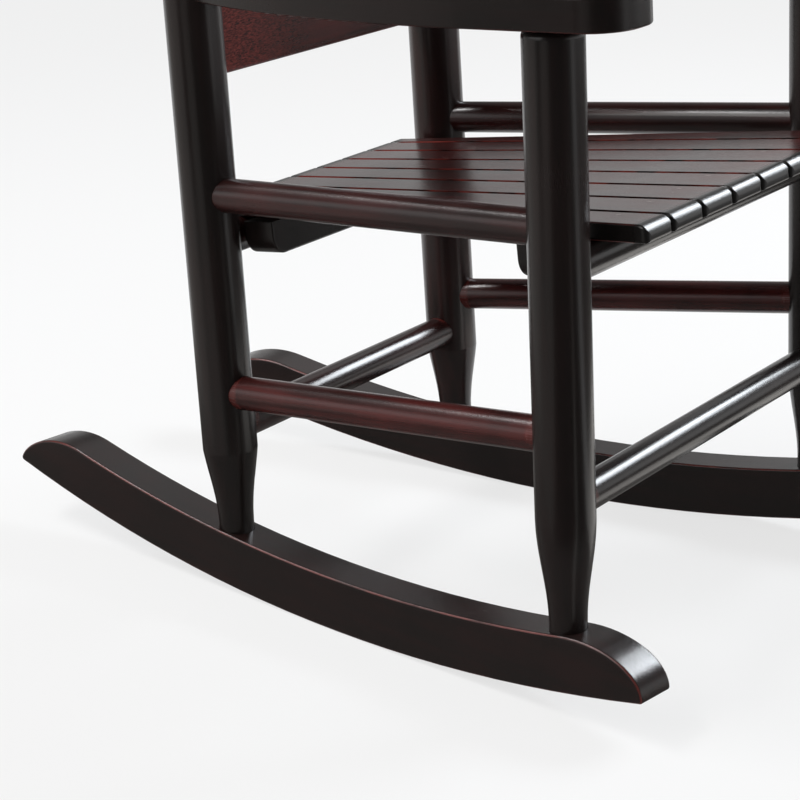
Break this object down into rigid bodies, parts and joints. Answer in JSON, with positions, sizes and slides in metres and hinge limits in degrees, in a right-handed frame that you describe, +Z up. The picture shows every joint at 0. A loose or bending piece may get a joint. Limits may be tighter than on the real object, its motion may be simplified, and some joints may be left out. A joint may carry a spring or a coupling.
{
  "type": "child rocking chair",
  "caption": "Small wooden rocking chair with round posts and dowel stretchers, flat arms, a slatted seat and a slatted back on two curved rockers.",
  "frame": {"origin": "on the floor, in the middle of the chair's outline seen from above", "axes": "+Z up, -Y the way the sitter faces, +X to the sitter's left"},
  "size_m": [0.389, 0.5416, 0.7008],
  "materials": {
    "frame_wood": "semi-gloss espresso lacquer",
    "stretcher_wood": "semi-gloss dark red-brown lacquer",
    "seat_wood": "semi-gloss espresso lacquer",
    "back_wood": "semi-gloss dark red-brown lacquer",
    "screw_steel": "zinc plated"
  },
  "bodies": {
    "root": {"arm_screws": "screw_steel", "back_cross_stretcher": "stretcher_wood", "back_seat_bearer": "frame_wood", "back_seat_dowel": "frame_wood", "back_slat_1": "back_wood", "back_slat_2": "back_wood", "back_slat_3": "back_wood", "back_slat_4": "back_wood", "back_slat_5": "back_wood", "crest_rail": "back_wood", "front_cross_stretcher": "stretcher_wood", "front_seat_bearer": "frame_wood", "front_seat_dowel": "frame_wood", "left_arm": "frame_wood", "left_back_post": "frame_wood", "left_front_post": "frame_wood", "left_lower_side_stretcher": "stretcher_wood", "left_rocker": "frame_wood", "left_upper_side_stretcher": "stretcher_wood", "lower_back_rail": "back_wood", "right_arm": "frame_wood", "right_back_post": "frame_wood", "right_front_post": "frame_wood", "right_lower_side_stretcher": "stretcher_wood", "right_rocker": "frame_wood", "right_upper_side_stretcher": "stretcher_wood", "rocker_screws": "screw_steel", "seat_dowel_screws": "screw_steel", "seat_slat_1": "seat_wood", "seat_slat_2": "seat_wood", "seat_slat_3": "seat_wood", "seat_slat_4": "seat_wood", "seat_slat_5": "seat_wood", "seat_slat_6": "seat_wood", "seat_slat_7": "seat_wood", "seat_slat_8": "seat_wood", "slat_screws": "screw_steel"}
  },
  "joints": []
}
